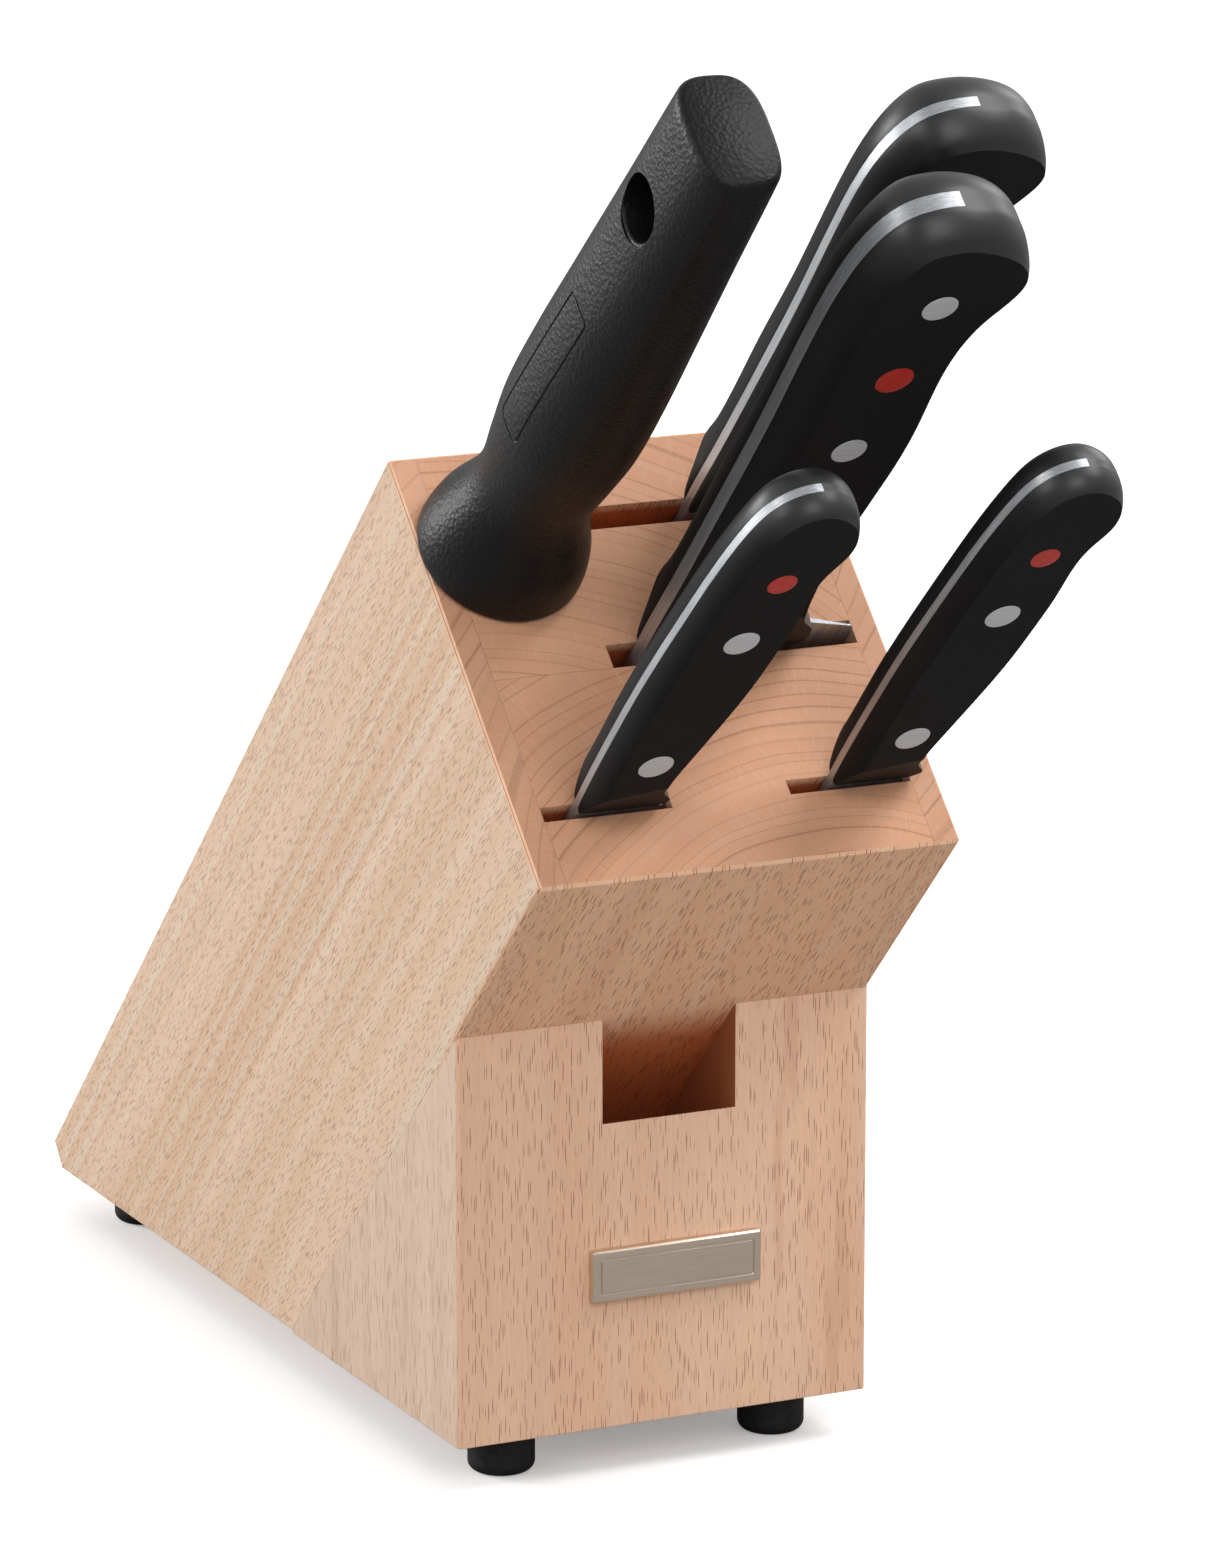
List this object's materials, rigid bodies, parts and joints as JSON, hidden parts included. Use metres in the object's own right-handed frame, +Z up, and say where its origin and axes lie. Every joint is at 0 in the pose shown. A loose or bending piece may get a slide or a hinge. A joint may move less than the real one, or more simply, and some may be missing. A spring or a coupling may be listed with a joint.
{
  "type": "knife block with knives",
  "caption": "Slanted beech knife block on rubber feet, holding riveted knives and a honing steel, with a channel for shears in its front wedge.",
  "frame": {"origin": "bottom centre of the bounding box of the whole object, on the surface it stands on", "axes": "+Z up, -Y the way the upright front faces, +X to the right as seen from the front; the slots run up and forwards along (0, -1, 1)"},
  "size_m": [0.0882, 0.3108, 0.2751],
  "materials": {
    "beech": "satin",
    "badge_metal": "satin",
    "screw_steel": "bright",
    "foot_rubber": "matt",
    "grained_plastic": "fine leather grain",
    "rod_steel": "bright, finely fluted",
    "blade_steel": "brushed",
    "handle_plastic": "satin",
    "rivet_metal": "satin",
    "inlay_red": "satin"
  },
  "bodies": {
    "block": {"badge": "badge_metal", "foot_front_left": "foot_rubber", "foot_front_right": "foot_rubber", "foot_rear_left": "foot_rubber", "foot_rear_right": "foot_rubber", "foot_screws": "screw_steel", "front_core_board": "beech", "left_side_board": "beech", "rear_core_board": "beech", "right_side_board": "beech", "wedge_block": "beech"},
    "chef_knife": {"chef_knife_blade": "blade_steel", "chef_knife_front_scale": "handle_plastic", "chef_knife_inlay": "inlay_red", "chef_knife_rear_scale": "handle_plastic", "chef_knife_rivets": "rivet_metal"},
    "bread_knife": {"bread_knife_blade": "blade_steel", "bread_knife_front_scale": "handle_plastic", "bread_knife_inlay": "inlay_red", "bread_knife_rear_scale": "handle_plastic", "bread_knife_rivets": "rivet_metal"},
    "left_paring_knife": {"left_paring_knife_blade": "blade_steel", "left_paring_knife_front_scale": "handle_plastic", "left_paring_knife_inlay": "inlay_red", "left_paring_knife_rear_scale": "handle_plastic", "left_paring_knife_rivets": "rivet_metal"},
    "right_paring_knife": {"right_paring_knife_blade": "blade_steel", "right_paring_knife_front_scale": "handle_plastic", "right_paring_knife_inlay": "inlay_red", "right_paring_knife_rear_scale": "handle_plastic", "right_paring_knife_rivets": "rivet_metal"},
    "honing_steel": {"steel_handle": "grained_plastic", "steel_rod": "rod_steel"}
  },
  "joints": [
    {"name": "chef_knife_slide", "type": "slide", "parent": "block", "child": "chef_knife", "axis": [0, -0.7071, 0.7071], "range_m": [0, 0.215]},
    {"name": "bread_knife_slide", "type": "slide", "parent": "block", "child": "bread_knife", "axis": [0, -0.7071, 0.7071], "range_m": [0, 0.22]},
    {"name": "left_paring_knife_slide", "type": "slide", "parent": "block", "child": "left_paring_knife", "axis": [0, -0.7071, 0.7071], "range_m": [0, 0.095]},
    {"name": "right_paring_knife_slide", "type": "slide", "parent": "block", "child": "right_paring_knife", "axis": [0, -0.7071, 0.7071], "range_m": [0, 0.11]},
    {"name": "honing_steel_slide", "type": "slide", "parent": "block", "child": "honing_steel", "axis": [0, -0.7236, 0.6903], "range_m": [0, 0.22]}
  ]
}
